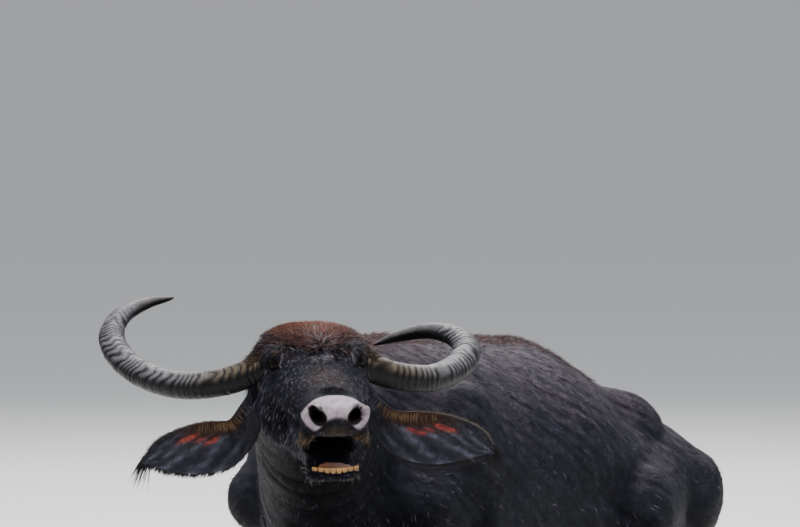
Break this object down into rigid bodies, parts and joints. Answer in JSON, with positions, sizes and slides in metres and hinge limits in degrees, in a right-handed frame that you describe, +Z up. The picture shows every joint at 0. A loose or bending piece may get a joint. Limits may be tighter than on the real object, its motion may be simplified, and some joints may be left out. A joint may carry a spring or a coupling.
{
  "type": "water buffalo",
  "caption": "Life-size water buffalo lying on its chest, head raised with the mouth open, ridged horns swept back and drooping ears.",
  "frame": {"origin": "on the floor under the middle of the trunk, on the belly's flat", "axes": "+Z up, +Y along the spine toward the tail, +X toward the animal's left; the head is toward -Y and turned to its left"},
  "size_m": [1.2156, 2.8049, 0.8451],
  "materials": {
    "hide": "wet, sparsely haired slate-black skin",
    "ear": "haired skin, pinkish inside",
    "horn": "ridged grey-black horn",
    "hoof": "dull dark horn",
    "eye": "wet, very dark brown",
    "tongue": "moist pinkish grey",
    "hair": "coarse black-brown hair"
  },
  "bodies": {
    "root": {"torso": "hide", "neck": "hide", "head": "hide", "jaw": "hide", "tongue": "tongue", "ear_left": "ear", "ear_right": "ear", "eye_left": "eye", "eye_right": "eye", "horn_left": "horn", "horn_right": "horn", "tail": "hide", "tail_tuft": "hair", "foreleg_left_forearm": "hide", "foreleg_left_cannon": "hide", "foreleg_left_claw_inner": "hoof", "foreleg_left_claw_outer": "hoof", "foreleg_right_forearm": "hide", "foreleg_right_cannon": "hide", "foreleg_right_claw_inner": "hoof", "foreleg_right_claw_outer": "hoof", "hindleg_left_thigh": "hide", "hindleg_left_shank": "hide", "hindleg_left_foot": "hide", "hindleg_left_claw_inner": "hoof", "hindleg_left_claw_outer": "hoof", "hindleg_right_thigh": "hide", "hindleg_right_shank": "hide", "hindleg_right_foot": "hide", "hindleg_right_claw_inner": "hoof", "hindleg_right_claw_outer": "hoof"}
  },
  "joints": []
}
